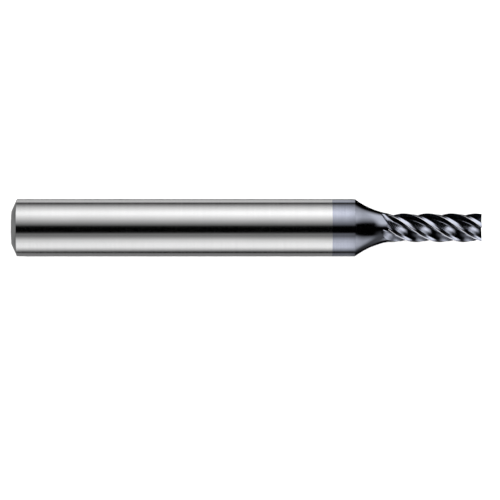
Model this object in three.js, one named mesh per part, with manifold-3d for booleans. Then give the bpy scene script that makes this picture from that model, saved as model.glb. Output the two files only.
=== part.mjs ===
// Solid-carbide end mill: 3 mm, five flutes, right-hand helix, on a 6 mm shank.
// Millimetres. The tool's axis is +X, its rear face stands at x = 0, its cutting end at +X.
// Angles about the axis run from +Y toward +Z, the way the tool turns when it cuts.
import * as THREE from "three";
import { mergeVertices } from "three/addons/utils/BufferGeometryUtils.js";
import Module from "manifold-3d";

// Lengths along the axis, from the rear face
const LENGTH = 49.2;
const REAR_CHAMFER = 0.54;
const COATING_START = 33.55;
const SHOULDER = 35.94; // the shank ends here and the taper begins
const TAPER_END = 39.41;
const FLUTES_FULL = 40.5; // from here to the tip the flutes have their full depth

const STEP = 0.275; // length of one straight piece of a helical surface
const RUNOUT_STEPS = 12; // pieces from the full depth back to where the wheel is clear
const FLUTE_STEPS = 34; // pieces from the full depth to beyond the tip

// Radii
const SHANK_R = 3.0;
const REAR_FACE_R = 1.81;
const CUT_R = 1.5;
const TAPER_ARC_R = 8.0;
const WEB_R = 1.02; // the core that carries the teeth

// Flutes
const TEETH = 5;
const PITCH = (2 * Math.PI) / TEETH;
const LEAD = 12.566; // helix angle 36.9 degrees at the cutting diameter
const EDGE_AT = 41.64; // where the first cutting edge crosses the +Z side
const RAKE = THREE.MathUtils.degToRad(8);
const RAKE_DEPTH = 0.24; // how far in from the edge the flat of the rake face reaches
const HOOK_R = 0.3; // the round root between the rake face and the floor of the flute
const FLOOR_LEAN = THREE.MathUtils.degToRad(4);
const PRIMARY_LAND = THREE.MathUtils.degToRad(4);
const PRIMARY_R = 1.49;
const HEEL_LAND = THREE.MathUtils.degToRad(19);
const HEEL_R = 1.42;
const RUNOUT_BLEND = 0.7; // axial length over which the wheel starts to lift
const RUNOUT_SLOPE = Math.tan(THREE.MathUtils.degToRad(30));
const RUNOUT_LEAN = THREE.MathUtils.degToRad(25);
const RUNOUT_SKEW = 0.72; // the wheel lifts square to the helix: mm of x for each radian across

// Cutting end
const DISH = 0.045; // how far the end edges fall toward the axis
const END_RELIEF = 0.16; // how far the end face falls from one edge to the next gash
const CENTRE_R = 0.17; // the small recess on the axis, where no tooth reaches
const CENTRE_DEPTH = 0.16;
const GASH_INNER_R = 0.16;
const GASH_DEPTH = 0.72;
const GASH_WIDTH = 0.62;

const wasm = await Module();
wasm.setup();

// A closed three.js geometry as a solid
function solid(geometry) {
  const bare = new THREE.BufferGeometry();
  bare.setAttribute("position", geometry.getAttribute("position"));
  if (geometry.index) bare.setIndex(geometry.index);
  const merged = mergeVertices(bare, 1e-4);
  const index = merged.index.array;
  const triangles = [];
  for (let i = 0; i < index.length; i += 3) {
    const [a, b, c] = [index[i], index[i + 1], index[i + 2]];
    if (a !== b && b !== c && c !== a) triangles.push(a, b, c);
  }
  const mesh = new wasm.Mesh({
    numProp: 3,
    vertProperties: merged.attributes.position.array,
    triVerts: new Uint32Array(triangles),
  });
  return new wasm.Manifold(mesh);
}

// A solid back as a flat-shaded three.js mesh under its name
function named(name, made, material) {
  const mesh = made.getMesh();
  const geometry = new THREE.BufferGeometry();
  geometry.setAttribute("position", new THREE.BufferAttribute(mesh.vertProperties, 3));
  geometry.setIndex(new THREE.BufferAttribute(mesh.triVerts, 1));
  geometry.computeVertexNormals();
  const out = new THREE.Mesh(geometry, material);
  out.name = name;
  return out;
}

// The largest body of a cut, without the slivers that two grazing faces can leave
function whole(made) {
  const bodies = made.decompose();
  return bodies.reduce((best, body) => (body.volume() > best.volume() ? body : best));
}

// A profile of [x, radius] pairs, from the rear to the tip, turned about the axis
function turned(profile, segments) {
  const points = profile.map(([x, r]) => new THREE.Vector2(r, x));
  const geometry = new THREE.LatheGeometry(points, segments);
  geometry.rotateZ(-Math.PI / 2);
  return solid(geometry);
}

function rod(x0, x1, r, segments) {
  return turned([[x0, 0], [x0, r], [x1, r], [x1, 0]], segments);
}

// The concave taper that leads from the shank down to the cutting diameter
function taperArc(steps) {
  const mid = new THREE.Vector2((SHOULDER + TAPER_END) / 2, (SHANK_R + CUT_R) / 2);
  const chord = new THREE.Vector2(TAPER_END - SHOULDER, CUT_R - SHANK_R);
  const half = Math.asin(chord.length() / 2 / TAPER_ARC_R);
  const out = new THREE.Vector2(-chord.y, chord.x).normalize();
  const centre = mid.addScaledVector(out, TAPER_ARC_R * Math.cos(half));
  const first = Math.atan2(SHANK_R - centre.y, SHOULDER - centre.x);
  const points = [];
  for (let i = 0; i <= steps; i += 1) {
    const a = first + (2 * half * i) / steps;
    points.push([centre.x + TAPER_ARC_R * Math.cos(a), centre.y + TAPER_ARC_R * Math.sin(a)]);
  }
  return points;
}

// The angle of tooth k's cutting edge where it crosses the plane at x
function edgeAngle(k, x) {
  return Math.PI / 2 + ((x - EDGE_AT) / LEAD) * 2 * Math.PI + k * PITCH;
}

// How far the grinding wheel has lifted off the flute floor at x
function wheelLift(x) {
  const past = FLUTES_FULL - x;
  if (past <= 0) return 0;
  if (past < RUNOUT_BLEND) return (RUNOUT_SLOPE * past * past) / (2 * RUNOUT_BLEND);
  return RUNOUT_SLOPE * (past - RUNOUT_BLEND / 2);
}

function polar(r, a) {
  return new THREE.Vector2(r * Math.cos(a), r * Math.sin(a));
}

// The round root of a flute, from the foot of the rake face to the flat floor
function hook(foot) {
  const first = Math.PI / 2 + RAKE;
  const centre = foot.clone().add(polar(HOOK_R, first));
  const points = [];
  for (let i = 0; i <= 8; i += 1) {
    const a = first + ((FLOOR_LEAN - first) * i) / 8;
    points.push(centre.clone().sub(polar(HOOK_R, a)));
  }
  return points;
}

// Across the axis, the space between the rake face of one tooth and the back of the next:
// rake face, hook, the flat floor out to the heel, the two reliefs, then outside air
function fluteShape() {
  const face = (u) => new THREE.Vector2(u, (u - CUT_R) * Math.tan(RAKE));
  const root = hook(face(CUT_R - RAKE_DEPTH));
  const heel = polar(HEEL_R, PITCH - HEEL_LAND);
  const points = [face(2.5), face(CUT_R), ...root];
  for (let i = 1; i <= 2; i += 1) points.push(root[root.length - 1].clone().lerp(heel, i / 3));
  points.push(heel, polar(PRIMARY_R, PITCH - PRIMARY_LAND), polar(CUT_R, PITCH));
  points.push(polar(2.5, PITCH + 0.1));
  for (let i = 3; i >= 1; i -= 1) points.push(polar(2.8, (PITCH * i) / 4));
  return new THREE.Shape(points);
}

// The flute's section carried along the helix, tooth k's rake face on its trailing side
function fluteCutter(k) {
  const start = FLUTES_FULL - RUNOUT_STEPS * STEP;
  const steps = RUNOUT_STEPS + FLUTE_STEPS;
  const geometry = new THREE.ExtrudeGeometry(fluteShape(), {
    depth: steps * STEP,
    steps,
    bevelEnabled: false,
  });
  const p = geometry.getAttribute("position");
  for (let i = 0; i < p.count; i += 1) {
    const x = start + p.getZ(i);
    const across = Math.atan2(p.getY(i), p.getX(i));
    const lift = wheelLift(x + RUNOUT_SKEW * Math.max(across, 0));
    const u = p.getX(i) + lift * Math.cos(RUNOUT_LEAN);
    const v = p.getY(i) + lift * Math.sin(RUNOUT_LEAN);
    const turn = edgeAngle(k, x);
    const y = u * Math.cos(turn) - v * Math.sin(turn);
    const z = u * Math.sin(turn) + v * Math.cos(turn);
    p.setXYZ(i, x, y, z);
  }
  return solid(geometry);
}

// Sits a geometry made along its own +Z on the cutting end, its own +X along tooth k's edge
function onEnd(geometry, k) {
  const frame = new THREE.Matrix4().makeBasis(
    new THREE.Vector3(0, 1, 0),
    new THREE.Vector3(0, 0, 1),
    new THREE.Vector3(1, 0, 0),
  );
  geometry.rotateZ(edgeAngle(k, LENGTH));
  geometry.applyMatrix4(frame);
  geometry.translate(LENGTH, 0, 0);
  return geometry;
}

// The ground end face behind tooth k's end edge, falling away to the next gash
function endFacetCutter(k) {
  const shape = new THREE.Shape([
    new THREE.Vector2(0, 0),
    polar(2.2, -PITCH),
    polar(2.2, -PITCH / 2),
    polar(2.2, 0),
  ]);
  const geometry = new THREE.ExtrudeGeometry(shape, { depth: 0.6, bevelEnabled: false });
  const p = geometry.getAttribute("position");
  const back = polar(CUT_R, -PITCH);
  for (let i = 0; i < p.count; i += 1) {
    if (p.getZ(i) > 0.3) continue;
    const along = p.getX(i) - (p.getY(i) * back.x) / back.y;
    const behind = p.getY(i) / back.y;
    p.setZ(i, -DISH + (DISH * along) / CUT_R + (DISH - END_RELIEF) * behind);
  }
  return solid(onEnd(geometry, k));
}

// The gash ground in front of tooth k's end edge, deeper toward the outside
function gashCutter(k) {
  const shape = new THREE.Shape([
    new THREE.Vector2(0, 0.4),
    new THREE.Vector2(-0.06, -GASH_DEPTH),
    new THREE.Vector2(0.05, -GASH_DEPTH),
    new THREE.Vector2(GASH_WIDTH, 0.02),
    new THREE.Vector2(GASH_WIDTH, 0.4),
  ]);
  const geometry = new THREE.ExtrudeGeometry(shape, { depth: 2, bevelEnabled: false });
  const p = geometry.getAttribute("position");
  for (let i = 0; i < p.count; i += 1) {
    const outward = GASH_INNER_R + p.getZ(i);
    const share = outward / CUT_R;
    const low = p.getY(i) < 0;
    const side = p.getX(i) * (p.getX(i) > 0 ? 0.3 + 0.7 * share : share);
    p.setXYZ(i, outward, side, low ? p.getY(i) * share : p.getY(i));
  }
  return solid(onEnd(geometry, k));
}

function centreCutter() {
  const floor = LENGTH - CENTRE_DEPTH;
  return turned([[floor, 0], [floor, 0.09], [LENGTH, CENTRE_R], [LENGTH, 0]], 20);
}

// One ground bar: the turned outline, then the flutes, the end faces and the gashes
function groundTool() {
  const taper = taperArc(14);
  let tool = turned(
    [
      [0, 0],
      [0, REAR_FACE_R],
      [REAR_CHAMFER, SHANK_R],
      ...taper,
      [FLUTES_FULL, CUT_R],
      [FLUTES_FULL, CUT_R + 0.06],
      [LENGTH, CUT_R + 0.06],
      [LENGTH, 0],
    ],
    96,
  );
  for (let k = 0; k < TEETH; k += 1) tool = tool.subtract(fluteCutter(k));
  for (let k = 0; k < TEETH; k += 1) tool = tool.subtract(endFacetCutter(k));
  for (let k = 0; k < TEETH; k += 1) tool = tool.subtract(gashCutter(k));
  return tool.subtract(centreCutter());
}

// The length of the tool between two planes across its axis
function between(tool, x0, x1) {
  return tool.intersect(rod(x0, x1, SHANK_R + 1, 8));
}

// The angle at which a tooth stands where the flutes reach full depth, in turns from 0 to 1
function placeOf(tooth) {
  const mesh = tooth.getMesh();
  let y = 0;
  let z = 0;
  for (let i = 0; i < mesh.vertProperties.length; i += mesh.numProp) {
    const x = mesh.vertProperties[i];
    const turn = -edgeAngle(0, x);
    const a = mesh.vertProperties[i + 1];
    const b = mesh.vertProperties[i + 2];
    y += a * Math.cos(turn) - b * Math.sin(turn);
    z += a * Math.sin(turn) + b * Math.cos(turn);
  }
  return (Math.atan2(z, y) / (2 * Math.PI) + 1.1) % 1;
}

const carbide = new THREE.MeshStandardMaterial({
  color: 0xb9bbbd,
  metalness: 1,
  roughness: 0.22,
});
const coating = new THREE.MeshStandardMaterial({
  color: 0x4b4f5e,
  metalness: 1,
  roughness: 0.3,
});

const tool = groundTool();
const web = rod(FLUTES_FULL - 1, LENGTH + 1, WEB_R, 60);
const head = between(tool, FLUTES_FULL, LENGTH + 1);
const teeth = head.subtract(web).decompose().filter((body) => body.volume() > 0.1);
teeth.sort((a, b) => placeOf(a) - placeOf(b));

const group = new THREE.Group();
group.name = "end_mill";
group.add(named("shank", between(tool, -1, COATING_START), carbide));
group.add(named("coated_shank_band", between(tool, COATING_START, SHOULDER), coating));
group.add(named("neck", whole(between(tool, SHOULDER, FLUTES_FULL)), coating));
group.add(named("flute_core", whole(head.intersect(web)), coating));
teeth.forEach((tooth, i) => group.add(named("tooth_" + (i + 1), tooth, coating)));

export default group;
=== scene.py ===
import math

import bmesh
import bpy
from mathutils import Matrix, Vector


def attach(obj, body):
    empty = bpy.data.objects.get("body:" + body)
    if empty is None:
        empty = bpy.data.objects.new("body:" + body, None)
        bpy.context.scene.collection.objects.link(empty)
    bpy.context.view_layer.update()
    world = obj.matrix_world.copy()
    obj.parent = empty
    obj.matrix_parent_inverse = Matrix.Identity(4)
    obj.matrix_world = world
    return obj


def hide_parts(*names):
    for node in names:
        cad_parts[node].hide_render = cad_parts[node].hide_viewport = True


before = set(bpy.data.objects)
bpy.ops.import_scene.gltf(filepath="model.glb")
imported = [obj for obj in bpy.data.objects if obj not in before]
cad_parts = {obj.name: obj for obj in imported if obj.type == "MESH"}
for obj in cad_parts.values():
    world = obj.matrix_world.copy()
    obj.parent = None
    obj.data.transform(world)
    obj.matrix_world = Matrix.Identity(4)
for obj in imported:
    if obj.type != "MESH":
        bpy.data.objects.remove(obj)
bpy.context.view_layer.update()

# Shank: the plain 6 mm cylinder that the collet grips, centreless ground from a sintered
# tungsten-carbide rod and left bare. Its rear end has a steep ground chamfer, so that it
# slips into the holder, and a flat face from the cut-off wheel.
shank_r = 3.0
rear_face_r = 1.81
rear_chamfer = 0.54
coating_start = 33.55


def turned(outline, facets):
    """A closed bmesh, in millimetres, from an outline of (x, radius) ground about the axis."""
    bm = bmesh.new()
    verts = [bm.verts.new((x, 0, r)) for x, r in outline]
    edges = [bm.edges.new(pair) for pair in zip(verts, verts[1:])]
    bmesh.ops.spin(
        bm, geom=verts + edges, cent=(0, 0, 0), axis=(1, 0, 0), dvec=(0, 0, 0),
        angle=math.tau, steps=facets, use_merge=True,
    )
    bmesh.ops.remove_doubles(bm, verts=bm.verts[:], dist=1e-5)
    bmesh.ops.recalc_face_normals(bm, faces=bm.faces[:])
    return bm


def blank(name, bm):
    """The bmesh as a working object, still in millimetres."""
    mesh = bpy.data.meshes.new(name)
    bm.to_mesh(mesh)
    bm.free()
    piece = bpy.data.objects.new(name, mesh)
    bpy.context.collection.objects.link(piece)
    return piece


def smoothed(piece, crease):
    piece.data.shade_smooth()
    piece.data.set_sharp_from_angle(angle=math.radians(crease))
    return piece


def finished(piece, material, node):
    """Brings a ground piece to metres, gives it its finish and puts it in the node's place."""
    piece.data.transform(Matrix.Scale(0.001, 4))
    piece.data.materials.clear()
    piece.data.materials.append(material)
    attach(piece, "root")
    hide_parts(node)
    return piece


def node_of(tree, kind, **settings):
    made = tree.nodes.new(kind)
    for key, value in settings.items():
        if key.startswith("in_"):
            made.inputs[key[3:].replace("_", " ")].default_value = value
        else:
            setattr(made, key, value)
    return made


def maths(tree, operation, a, b=None, clamp=False):
    made = tree.nodes.new("ShaderNodeMath")
    made.operation = operation
    made.use_clamp = clamp
    for i, value in enumerate((a, b)):
        if value is None:
            continue
        if isinstance(value, (int, float)):
            made.inputs[i].default_value = value
        else:
            tree.links.new(value, made.inputs[i])
    return made.outputs[0]


def spread(tree, value, low, high, to_low, to_high):
    """Maps value from low..high onto to_low..to_high, held at the ends."""
    made = node_of(
        tree, "ShaderNodeMapRange", in_From_Min=low, in_From_Max=high,
        in_To_Min=to_low, in_To_Max=to_high,
    )
    tree.links.new(value, made.inputs["Value"])
    return made.outputs[0]


def ground_noise(tree, coords, stretch, detail=4.0, rough=0.55):
    """Noise squeezed into ground lines: stretch is lines per metre along x, y and z."""
    mapping = node_of(tree, "ShaderNodeMapping", in_Scale=stretch)
    noise = node_of(tree, "ShaderNodeTexNoise", in_Scale=1.0, in_Detail=detail, in_Roughness=rough)
    tree.links.new(coords, mapping.inputs["Vector"])
    tree.links.new(mapping.outputs[0], noise.inputs["Vector"])
    return noise.outputs["Fac"]


bare_carbide = bpy.data.materials.new("bare_carbide")
bare_carbide.use_nodes = True
tree = bare_carbide.node_tree
metal = tree.nodes["Principled BSDF"]
metal.inputs["Metallic"].default_value = 1.0
metal.inputs["Specular IOR Level"].default_value = 0.5
place = tree.nodes.new("ShaderNodeTexCoord").outputs["Object"]
# wheel lines run round the bar: fine ones a few hundredths of a millimetre apart
fine_lines = ground_noise(tree, place, (42000, 260, 260))
broad_lines = ground_noise(tree, place, (5200, 60, 60), detail=3.0)
haze = ground_noise(tree, place, (240, 300, 300), detail=5.0)
lines = maths(
    tree, "ADD", maths(tree, "MULTIPLY", fine_lines, 0.6), maths(tree, "MULTIPLY", broad_lines, 0.4)
)
ramp = tree.nodes.new("ShaderNodeValToRGB")
ramp.color_ramp.elements[0].position = 0.3
ramp.color_ramp.elements[0].color = (0.63, 0.63, 0.635, 1)
ramp.color_ramp.elements[1].position = 0.7
ramp.color_ramp.elements[1].color = (0.70, 0.70, 0.70, 1)
tree.links.new(lines, ramp.inputs["Fac"])
tree.links.new(ramp.outputs["Color"], metal.inputs["Base Color"])
shine = maths(
    tree, "ADD", spread(tree, lines, 0.3, 0.7, 0.11, 0.16), spread(tree, haze, 0.3, 0.7, 0.0, 0.03)
)
tree.links.new(shine, metal.inputs["Roughness"])
bump = node_of(tree, "ShaderNodeBump", in_Strength=0.35, in_Distance=1.2e-6)
tree.links.new(lines, bump.inputs["Height"])
tree.links.new(bump.outputs["Normal"], metal.inputs["Normal"])

rear = [(0.0, 0.0), (0.0, rear_face_r - 0.02), (0.008, rear_face_r)]
chamfer_top = [(rear_chamfer - 0.012, shank_r - 0.03), (rear_chamfer + 0.012, shank_r)]
plain = [(rear_chamfer + (coating_start - rear_chamfer) * i / 12, shank_r) for i in range(1, 13)]
shank = blank("shank_ground", turned(rear + chamfer_top + plain + [(coating_start, 0.0)], 256))
finished(smoothed(shank, 28), bare_carbide, "shank")

# Coated band: the front of the same cylinder, where the hard coating begins. The tool hangs
# in a masked fixture in the coating chamber, so the film starts at a clean line round the
# shank and covers everything from there to the tip in dark blue-grey.
shoulder = 35.94
helix_lead = 12.566
first_edge_at = 41.64
tooth_count = 5
tooth_pitch = math.tau / tooth_count
turn_per_mm = math.tau / helix_lead

coated_carbide = bpy.data.materials.new("coated_carbide")
coated_carbide.use_nodes = True
tree = coated_carbide.node_tree
film = tree.nodes["Principled BSDF"]
place = tree.nodes.new("ShaderNodeTexCoord").outputs["Object"]
axes = tree.nodes.new("ShaderNodeSeparateXYZ")
tree.links.new(place, axes.inputs[0])
along, aside, upward = axes.outputs
# the helix rolled out flat: how far round a point lies from the first edge, in radians
rolled = maths(
    tree, "SUBTRACT", maths(tree, "ARCTAN2", upward, aside),
    maths(tree, "MULTIPLY", along, turn_per_mm * 1000),
)
outward = maths(
    tree, "SQRT",
    maths(tree, "ADD", maths(tree, "MULTIPLY", aside, aside), maths(tree, "MULTIPLY", upward, upward)),
)
rolled_out = tree.nodes.new("ShaderNodeCombineXYZ")
tree.links.new(maths(tree, "COSINE", rolled), rolled_out.inputs[0])
tree.links.new(maths(tree, "SINE", rolled), rolled_out.inputs[1])
tree.links.new(maths(tree, "MULTIPLY", outward, 1000), rolled_out.inputs[2])
wheel_cut = node_of(tree, "ShaderNodeAttribute", attribute_name="wheel_cut").outputs["Fac"]
honed_and_highlight = node_of(tree, "ShaderNodeAttribute", attribute_name="honed_and_highlight").outputs["Fac"]
round_lines = ground_noise(tree, place, (36000, 300, 300))
wheel_lines = ground_noise(tree, rolled_out.outputs[0], (38, 38, 26), detail=5.0, rough=0.65)
cloud = ground_noise(tree, place, (900, 900, 900), detail=5.0)


def between_cuts(tree, share, plain, cut):
    """The plain value where the bar was only turned, the cut one where a wheel has ground it."""
    return maths(
        tree, "ADD", maths(tree, "MULTIPLY", plain, maths(tree, "SUBTRACT", 1.0, share)),
        maths(tree, "MULTIPLY", cut, share),
    )


lines = between_cuts(tree, wheel_cut, round_lines, wheel_lines)
tone = maths(tree, "ADD", maths(tree, "MULTIPLY", lines, 0.65), maths(tree, "MULTIPLY", cloud, 0.35))
ramp = tree.nodes.new("ShaderNodeValToRGB")
ramp.color_ramp.elements[0].position = 0.32
ramp.color_ramp.elements[0].color = (0.34, 0.36, 0.43, 1)
ramp.color_ramp.elements[1].position = 0.68
ramp.color_ramp.elements[1].color = (0.43, 0.45, 0.53, 1)
tree.links.new(tone, ramp.inputs["Fac"])
# painted highlight: the honed margin is coloured lighter and less metallic to stand in for the bright
# line the rounded cutting edge reflects; partly it is the bare carbide the hone lays open
margin_highlight = node_of(tree, "ShaderNodeMix", data_type="RGBA")
margin_highlight.inputs["B"].default_value = (0.5, 0.5, 0.53, 1)
tree.links.new(honed_and_highlight, margin_highlight.inputs["Factor"])
# the turned taper is given a darker tint than the ground flutes, fading in across the shoulder
tint_fade = 0.8
deepened = node_of(tree, "ShaderNodeMix", data_type="RGBA")
deepened.inputs["B"].default_value = (0.25, 0.263, 0.31, 1)
on_taper = spread(tree, along, (shoulder - tint_fade) / 1000, (shoulder + tint_fade) / 1000, 0, 1)
tree.links.new(
    maths(tree, "MULTIPLY", on_taper, maths(tree, "SUBTRACT", 1.0, wheel_cut)), deepened.inputs["Factor"]
)
tree.links.new(ramp.outputs["Color"], deepened.inputs["A"])
tree.links.new(deepened.outputs["Result"], margin_highlight.inputs["A"])
tree.links.new(margin_highlight.outputs["Result"], film.inputs["Base Color"])
tree.links.new(spread(tree, honed_and_highlight, 0, 1, 1.0, 0.55), film.inputs["Metallic"])
turned_shine = spread(tree, tone, 0.3, 0.7, 0.08, 0.14)
cut_shine = spread(tree, tone, 0.3, 0.7, 0.09, 0.2)
shine = between_cuts(tree, wheel_cut, turned_shine, cut_shine)
tree.links.new(between_cuts(tree, honed_and_highlight, shine, 0.42), film.inputs["Roughness"])
bump = node_of(tree, "ShaderNodeBump", in_Strength=0.3, in_Distance=1.0e-6)
raised = between_cuts(tree, wheel_cut, round_lines, maths(tree, "MULTIPLY", wheel_lines, 9.0))
tree.links.new(raised, bump.inputs["Height"])
tree.links.new(bump.outputs["Normal"], film.inputs["Normal"])

band = blank(
    "band_coated",
    turned(
        [(coating_start, 0.0), (coating_start, shank_r), (shoulder - 0.012, shank_r)]
        + [(shoulder, shank_r - 0.008), (shoulder, 0.0)],
        256,
    ),
)
finished(smoothed(band, 28), coated_carbide, "coated_shank_band")

# Neck: a concave taper, form ground, that carries the load from the shank down to the thin
# cutting head. The five flutes run out in it, where the grinding wheel lifted off and left
# five scooped facets.
taper_end = 39.41
taper_arc_r = 8.0
cut_r = 1.5
flutes_full = 40.5
runout_blend = 0.7
runout_slope = math.tan(math.radians(30))
runout_lean = math.radians(25)
runout_skew = 0.72
helix_step = 0.275 / 5
rake = math.radians(8)
rake_depth = 0.24
hook_r = 0.3
floor_lean = math.radians(4)
primary_land = math.radians(4)
primary_r = 1.49
heel_land = math.radians(19)
heel_r = 1.42
honed_share = 0.6
web_r = 1.02


def edge_angle(k, x):
    return math.pi / 2 + (x - first_edge_at) * turn_per_mm + k * tooth_pitch


def across(radius, angle):
    return Vector((radius * math.cos(angle), radius * math.sin(angle)))


def cut_by_web(run):
    """The run of points, with one more wherever it crosses the web's radius."""
    made = [run[0]]
    for a, b in zip(run, run[1:]):
        if (a.length > web_r) != (b.length > web_r):
            made.append(a.lerp(b, (web_r - a.length) / (b.length - a.length)))
        made.append(b)
    return made


def flute_wall():
    """One flute across the axis, from a cutting edge round to the next tooth's edge."""
    face = [Vector((cut_r - d, -d * math.tan(rake))) for d in (0.0, 0.12, 0.25)]
    foot = Vector((cut_r - rake_depth, -rake_depth * math.tan(rake)))
    centre = foot + across(hook_r, math.pi / 2 + rake)
    start = math.pi / 2 + rake
    hook = []
    for i in range(13):
        hook.append(centre - across(hook_r, start + (floor_lean - start) * i / 12))
    heel = across(heel_r, tooth_pitch - heel_land)
    flat = [hook[-1].lerp(heel, i / 8) for i in range(1, 9)]
    primary = across(primary_r, tooth_pitch - primary_land)
    relief = [heel.lerp(primary, i / 4) for i in (1, 2, 3, 4)]
    margin = across(cut_r, tooth_pitch).lerp(primary, honed_share)
    return cut_by_web(face + hook + flat + relief + [margin, across(cut_r, tooth_pitch)])


def set_across(bm, section, x, turn):
    """The section as one face standing across the axis at x, turned by an angle."""
    c, s = math.cos(turn), math.sin(turn)
    return bm.faces.new([bm.verts.new((x, p.x * c - p.y * s, p.x * s + p.y * c)) for p in section])


def along_helix(bm, face, steps):
    """Carries the face step by step along the helix, leaving a closed twisted bar."""
    pace = math.copysign(helix_step, steps)
    bmesh.ops.spin(
        bm, geom=[face, *face.edges, *face.verts], cent=(0, 0, 0), axis=(1, 0, 0),
        dvec=(pace, 0, 0), angle=helix_step * steps * turn_per_mm, steps=abs(steps),
    )
    bmesh.ops.recalc_face_normals(bm, faces=bm.faces[:])


def wheel_lift(x):
    past = flutes_full - x
    if past <= 0:
        return 0.0
    if past < runout_blend:
        return runout_slope * past * past / (2 * runout_blend)
    return runout_slope * (past - runout_blend / 2)


def grinding_wheel(k):
    """The room that the wheel sweeps behind tooth k's flute as it lifts out of the neck."""
    wall = flute_wall()
    clear_r = 2.5
    far_r = 2.8
    lead_in = 8
    sweep = 68
    opening = [across(clear_r, tooth_pitch + 0.1)]
    opening += [across(far_r, tooth_pitch * i / 4) for i in (3, 2, 1)]
    section = [Vector((clear_r, (clear_r - cut_r) * math.tan(rake)))] + wall + opening
    start = flutes_full + lead_in * helix_step
    bm = bmesh.new()
    along_helix(bm, set_across(bm, section, start, edge_angle(k, start)), -sweep)
    for v in bm.verts:
        turn = edge_angle(k, v.co.x)
        c, s = math.cos(turn), math.sin(turn)
        u, w = v.co.y * c + v.co.z * s, v.co.z * c - v.co.y * s
        lift = wheel_lift(v.co.x + runout_skew * max(math.atan2(w, u), 0))
        u += lift * math.cos(runout_lean)
        w += lift * math.sin(runout_lean)
        v.co.y, v.co.z = u * c - w * s, u * s + w * c
    return blank("wheel", bm)


def grind(piece, *tools):
    """Takes each tool's room out of the piece."""
    for tool in tools:
        cut = piece.modifiers.new("cut", "BOOLEAN")
        cut.operation = "DIFFERENCE"
        cut.solver = "MANIFOLD"
        cut.object = tool
    graph = bpy.context.evaluated_depsgraph_get()
    mesh = bpy.data.meshes.new_from_object(piece.evaluated_get(graph))
    piece.modifiers.clear()
    piece.data = mesh
    return piece


def parted(name, bar, x):
    """A copy of the bar, parted off square at x, with the end closed."""
    bm = bmesh.new()
    bm.from_mesh(bar.data)
    bmesh.ops.bisect_plane(
        bm, geom=[*bm.verts, *bm.edges, *bm.faces], dist=1e-6, plane_co=(x, 0, 0),
        plane_no=(1, 0, 0), clear_outer=True,
    )
    rim = [e for e in bm.edges if e.is_boundary]
    bmesh.ops.contextual_create(bm, geom=rim)
    bmesh.ops.recalc_face_normals(bm, faces=bm.faces[:])
    return blank(name, bm)


def shade_like(piece, whole):
    """Gives the piece the shading of the unparted bar, so that no line shows where they meet."""
    shade = piece.modifiers.new("shade", "DATA_TRANSFER")
    shade.object = whole
    shade.use_loop_data = True
    shade.data_types_loops = {"CUSTOM_NORMAL"}
    shade.loop_mapping = "NEAREST_POLYNOR"
    graph = bpy.context.evaluated_depsgraph_get()
    mesh = bpy.data.meshes.new_from_object(piece.evaluated_get(graph))
    piece.modifiers.clear()
    piece.data = mesh


half_x, half_r = (shoulder + taper_end) / 2, (shank_r + cut_r) / 2
chord = Vector((taper_end - shoulder, cut_r - shank_r))
half_sweep = math.asin(chord.length / 2 / taper_arc_r)
outward = Vector((-chord.y, chord.x)).normalized() * taper_arc_r * math.cos(half_sweep)
middle = Vector((half_x, half_r)) + outward
first = math.atan2(shank_r - middle.y, shoulder - middle.x)
taper = []
for i in range(41):
    a = first + 2 * half_sweep * i / 40
    taper.append((middle.x + taper_arc_r * math.cos(a), middle.y + taper_arc_r * math.sin(a)))
past_neck = flutes_full + 4 * helix_step
bar = blank("neck_bar", turned([(shoulder, 0.0)] + taper + [(past_neck, cut_r), (past_neck, 0.0)], 256))
wheels = [grinding_wheel(k) for k in range(tooth_count)]
grind(bar, *wheels)
for wheel in wheels:
    bpy.data.objects.remove(wheel)


def blank_r(x):
    """The radius of the turned bar at x, before the flutes are ground."""
    if x >= taper_end:
        return cut_r
    return middle.y - math.sqrt(taper_arc_r**2 - (x - middle.x) ** 2)


def mark_grinding(piece):
    """Notes on each corner whether a wheel has cut there, and whether it is the honed margin, which the
    finish paints lighter as the edge's highlight line.
    """
    mesh = piece.data
    wheel_cut = mesh.attributes.new("wheel_cut", "FLOAT", "CORNER")
    honed_and_highlight = mesh.attributes.new("honed_and_highlight", "FLOAT", "CORNER")
    for face in mesh.polygons:
        x, y, z = face.center
        r = math.hypot(y, z)
        behind = (edge_angle(0, x) - math.atan2(z, y)) % tooth_pitch
        cut = r < blank_r(x) - 0.006 or x > flutes_full
        margin = r > primary_r and behind < primary_land * honed_share and x > taper_end
        for corner in face.loop_indices:
            wheel_cut.data[corner].value = float(cut)
            honed_and_highlight.data[corner].value = float(margin)


neck = parted("neck_taper", bar, flutes_full)
shade_like(neck, smoothed(bar, 24))
mark_grinding(neck)
finished(neck, coated_carbide, "neck")
bpy.data.objects.remove(bar)

# Flute core: the web down the middle of the cutting head, a twisted bar with the floors of
# the five flutes ground into it. It carries the teeth, and at the tip a small recess is ground
# on the axis between the end gashes.
tip = 49.2
dish = 0.045
end_relief = 0.16
centre_r = 0.17
centre_depth = 0.16
gash_inner_r = 0.16
gash_depth = 0.72
gash_width = 0.62


def on_end(bm, k):
    """Stands a shape made along +Z on the cutting end, its +X along tooth k's edge."""
    stand = Matrix(((0, 0, 1, tip), (1, 0, 0, 0), (0, 1, 0, 0), (0, 0, 0, 1)))
    turn = Matrix.Rotation(edge_angle(k, tip), 4, "Z")
    bmesh.ops.transform(bm, matrix=stand @ turn, verts=bm.verts[:])
    bmesh.ops.recalc_face_normals(bm, faces=bm.faces[:])
    return bm


def prism(points, depth):
    bm = bmesh.new()
    face = bm.faces.new([bm.verts.new((p[0], p[1], 0)) for p in points])
    grown = bmesh.ops.extrude_face_region(bm, geom=[face])
    top = [g for g in grown["geom"] if isinstance(g, bmesh.types.BMVert)]
    bmesh.ops.translate(bm, vec=(0, 0, depth), verts=top)
    return bm


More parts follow.
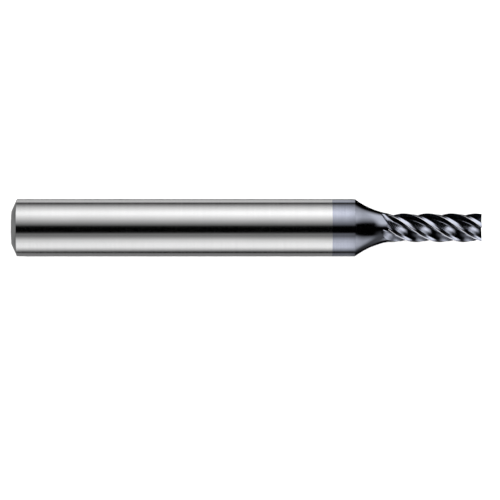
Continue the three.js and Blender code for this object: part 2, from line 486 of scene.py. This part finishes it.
def end_face_wheel(k):
    """Grinds the end face behind tooth k's end edge, falling away to the next gash."""
    bm = prism([(0, 0), across(2.2, -tooth_pitch), across(2.2, -tooth_pitch / 2), across(2.2, 0)], 0.6)
    back = across(cut_r, -tooth_pitch)
    for v in bm.verts:
        if v.co.z < 0.3:
            run = v.co.x - v.co.y * back.x / back.y
            behind = v.co.y / back.y
            v.co.z = -dish + dish * run / cut_r + (dish - end_relief) * behind
    return blank("end_wheel", on_end(bm, k))


def gash_wheel(k):
    """Grinds the gash in front of tooth k's end edge, deeper toward the outside."""
    bm = prism(
        [(0, 0.4), (-0.06, -gash_depth), (0.05, -gash_depth), (gash_width, 0.02), (gash_width, 0.4)], 2.0
    )
    for v in bm.verts:
        run = gash_inner_r + v.co.z
        share = run / cut_r
        side = v.co.x * ((0.3 + 0.7 * share) if v.co.x > 0 else share)
        v.co = (run, side, v.co.y * share if v.co.y < 0 else v.co.y)
    return blank("gash_wheel", on_end(bm, k))


def turned_by(point, angle):
    c, s = math.cos(angle), math.sin(angle)
    return Vector((point.x * c - point.y * s, point.x * s + point.y * c))


def web_arc(start, end, steps):
    return [across(web_r, start + (end - start) * i / steps) for i in range(1, steps)]


def helical_bar(name, section, start, k=0):
    """The section carried along the helix from start until it is past the tip."""
    bm = bmesh.new()
    steps = math.ceil((tip + 0.08 - start) / helix_step)
    along_helix(bm, set_across(bm, section, start, edge_angle(k, start)), steps)
    return blank(name, bm)


def angle_of(point):
    return math.atan2(point.y, point.x)


wall = flute_wall()
on_web = [i for i, p in enumerate(wall) if abs(p.length - web_r) < 0.003]
root_in, root_out = on_web[0], on_web[-1]
floor_run = wall[root_in:root_out + 1]
under_tooth = web_arc(angle_of(wall[root_out]) - tooth_pitch, angle_of(wall[root_in]), 8)

end_tools = [end_face_wheel(k) for k in range(tooth_count)]
end_tools += [gash_wheel(k) for k in range(tooth_count)]
recess = [(tip - centre_depth, 0.0), (tip - centre_depth, 0.09), (tip, centre_r)]
end_tools.append(blank("recess_tool", turned(recess + [(tip + 0.3, centre_r), (tip + 0.3, 0.0)], 32)))

outline = []
for k in range(tooth_count):
    outline += [turned_by(p, k * tooth_pitch) for p in wall[:-1]]
head = helical_bar("head_bar", outline, flutes_full - 3 * helix_step)
smoothed(grind(head, *end_tools), 24)

section = []
for k in range(tooth_count):
    section += [turned_by(p, k * tooth_pitch) for p in floor_run]
    section += [turned_by(p, (k + 1) * tooth_pitch) for p in under_tooth]
core = helical_bar("core_web", section, flutes_full)
grind(core, *end_tools)
shade_like(core, head)
mark_grinding(core)
finished(core, coated_carbide, "flute_core")

# Teeth: five helical cutting teeth, right-hand helix, right-hand cut. Each has an undercut
# rake face and a narrow primary relief, honed bare along the edge and painted lighter there as
# the edge's highlight, with a wider relief behind it that falls to the flat floor of the next flute.
back = [turned_by(p, -tooth_pitch) for p in wall[root_out:-1]]
for k in range(tooth_count):
    section = wall[:root_in + 1] + under_tooth[::-1] + back
    tooth = helical_bar("tooth_%d_ground" % (k + 1), section, flutes_full, k)
    grind(tooth, *end_tools)
    shade_like(tooth, head)
    mark_grinding(tooth)
    finished(tooth, coated_carbide, "tooth_%d" % (k + 1))
for tool in [*end_tools, head]:
    bpy.data.objects.remove(tool)

# Stage: a pale matt table under the tool, lit by long soft strip lights that run beside it,
# with a dark gap over the lens between them.
floor_mesh = bpy.data.meshes.new("table_top")
bm = bmesh.new()
bmesh.ops.create_grid(bm, x_segments=1, y_segments=1, size=1.5)
bmesh.ops.translate(bm, vec=(0.025, 0, -0.00301), verts=bm.verts[:])
bm.to_mesh(floor_mesh)
bm.free()
floor = bpy.data.objects.new("table_top", floor_mesh)
bpy.context.collection.objects.link(floor)
paint = bpy.data.materials.new("pale_table")
paint.use_nodes = True
paint.node_tree.nodes["Principled BSDF"].inputs["Base Color"].default_value = (0.9, 0.9, 0.9, 1)
paint.node_tree.nodes["Principled BSDF"].inputs["Roughness"].default_value = 0.9
floor.data.materials.append(paint)
floor.visible_glossy = False

world = bpy.data.worlds.new("studio")
bpy.context.scene.world = world
world.use_nodes = True
tree = world.node_tree
tree.nodes.clear()
direction = tree.nodes.new("ShaderNodeTexCoord").outputs["Generated"]
parts = tree.nodes.new("ShaderNodeSeparateXYZ")
tree.links.new(direction, parts.inputs[0])
round_tool = maths(tree, "ARCTAN2", parts.outputs["Y"], parts.outputs["Z"])
turn_share = spread(tree, round_tool, -math.pi, math.pi, 0, 1)


def softboxes(*boxes):
    """Brightness round the tool. A box is its middle, half width and soft edge, in degrees, and level."""
    def brightness(degrees):
        total = 0.0
        for middle, half, edge, level in boxes:
            away = abs((degrees - middle + 180) % 360 - 180)
            total += level * min(max(1 - (away - half) / edge, 0), 1)
        return total

    corners = {-180, 180}
    for middle, half, edge, _ in boxes:
        for offset in (-half - edge, -half, half, half + edge):
            corners.add((middle + offset + 180) % 360 - 180)
    strips = tree.nodes.new("ShaderNodeValToRGB")
    tree.links.new(turn_share, strips.inputs["Fac"])
    ends = strips.color_ramp.elements
    ends[0].position = 0
    ends[1].position = 1
    for degrees in sorted(corners):
        if abs(degrees) < 180:
            ends.new((degrees + 180) / 360)
    for stop, degrees in zip(ends, sorted(corners)):
        level = brightness(degrees)
        stop.color = (level, level, level, 1)
    return strips.outputs["Color"]


def further_along(near, far, start, end):
    """Changes from near to far as the direction leans from start to end toward the cutting end."""
    lean = node_of(tree, "ShaderNodeMix", data_type="RGBA")
    tree.links.new(spread(tree, parts.outputs["X"], start, end, 0, 1), lean.inputs["Factor"])
    tree.links.new(near, lean.inputs["A"])
    tree.links.new(far, lean.inputs["B"])
    return lean.outputs["Result"]


# Two long softboxes, one each side of the lens, with a dark gap over it and a dim room beyond.
# Square to the tool a narrow card and a low one show as well; further forward only the two remain.
beside = softboxes(
    (60, 5, 50, 1.5), (-75, 10, 30, 1.2), (135, 5, 15, 0.5), (-40, 15, 5, 0.25), (180, 50, 10, 0.25)
)
behind = softboxes((-100, 15, 30, 0.9), (180, 10, 30, 0.25))
ahead = softboxes((75, 20, 25, 1.8), (-85, 10, 25, 1.8))
well_ahead = softboxes((65, 30, 30, 1.8), (-85, 25, 40, 0.2))
far_ahead = softboxes((85, 10, 45, 1.3), (-100, 10, 35, 1.1))
studio_light = further_along(behind, beside, -0.16, -0.06)
studio_light = further_along(studio_light, ahead, 0.05, 0.12)
studio_light = further_along(studio_light, well_ahead, 0.26, 0.36)
studio_light = further_along(studio_light, far_ahead, 0.52, 0.66)
glow = tree.nodes.new("ShaderNodeBackground")
tree.links.new(studio_light, glow.inputs["Color"])
glow.inputs["Strength"].default_value = 1.0
backdrop = node_of(tree, "ShaderNodeBackground", in_Color=(1, 1, 1, 1), in_Strength=1.0)
ray = tree.nodes.new("ShaderNodeLightPath")
choice = tree.nodes.new("ShaderNodeMixShader")
tree.links.new(ray.outputs["Is Camera Ray"], choice.inputs["Fac"])
tree.links.new(glow.outputs[0], choice.inputs[1])
tree.links.new(backdrop.outputs[0], choice.inputs[2])
tree.links.new(choice.outputs[0], tree.nodes.new("ShaderNodeOutputWorld").inputs["Surface"])

overhead = bpy.data.lights.new("overhead_softbox", "AREA")
overhead.size = 1.2
overhead.energy = 24.0
overhead_lamp = bpy.data.objects.new("overhead_softbox", overhead)
overhead_lamp.location = (0.025, 0, 0.9)
overhead_lamp.visible_glossy = False
overhead_lamp.visible_camera = False
bpy.context.collection.objects.link(overhead_lamp)

lens = bpy.data.cameras.new("copy_stand")
lens.lens = 330
lens.sensor_width = 36
lens.clip_start = 0.01
camera = bpy.data.objects.new("copy_stand", lens)
# the lens looks straight down from beside the tool's middle, and takes in 52.36 mm
frame_width = 0.05236
camera.location = (0.024953, -0.00233, frame_width * lens.lens / lens.sensor_width)
bpy.context.collection.objects.link(camera)
bpy.context.scene.camera = camera
bpy.context.scene.view_settings.view_transform = "Standard"
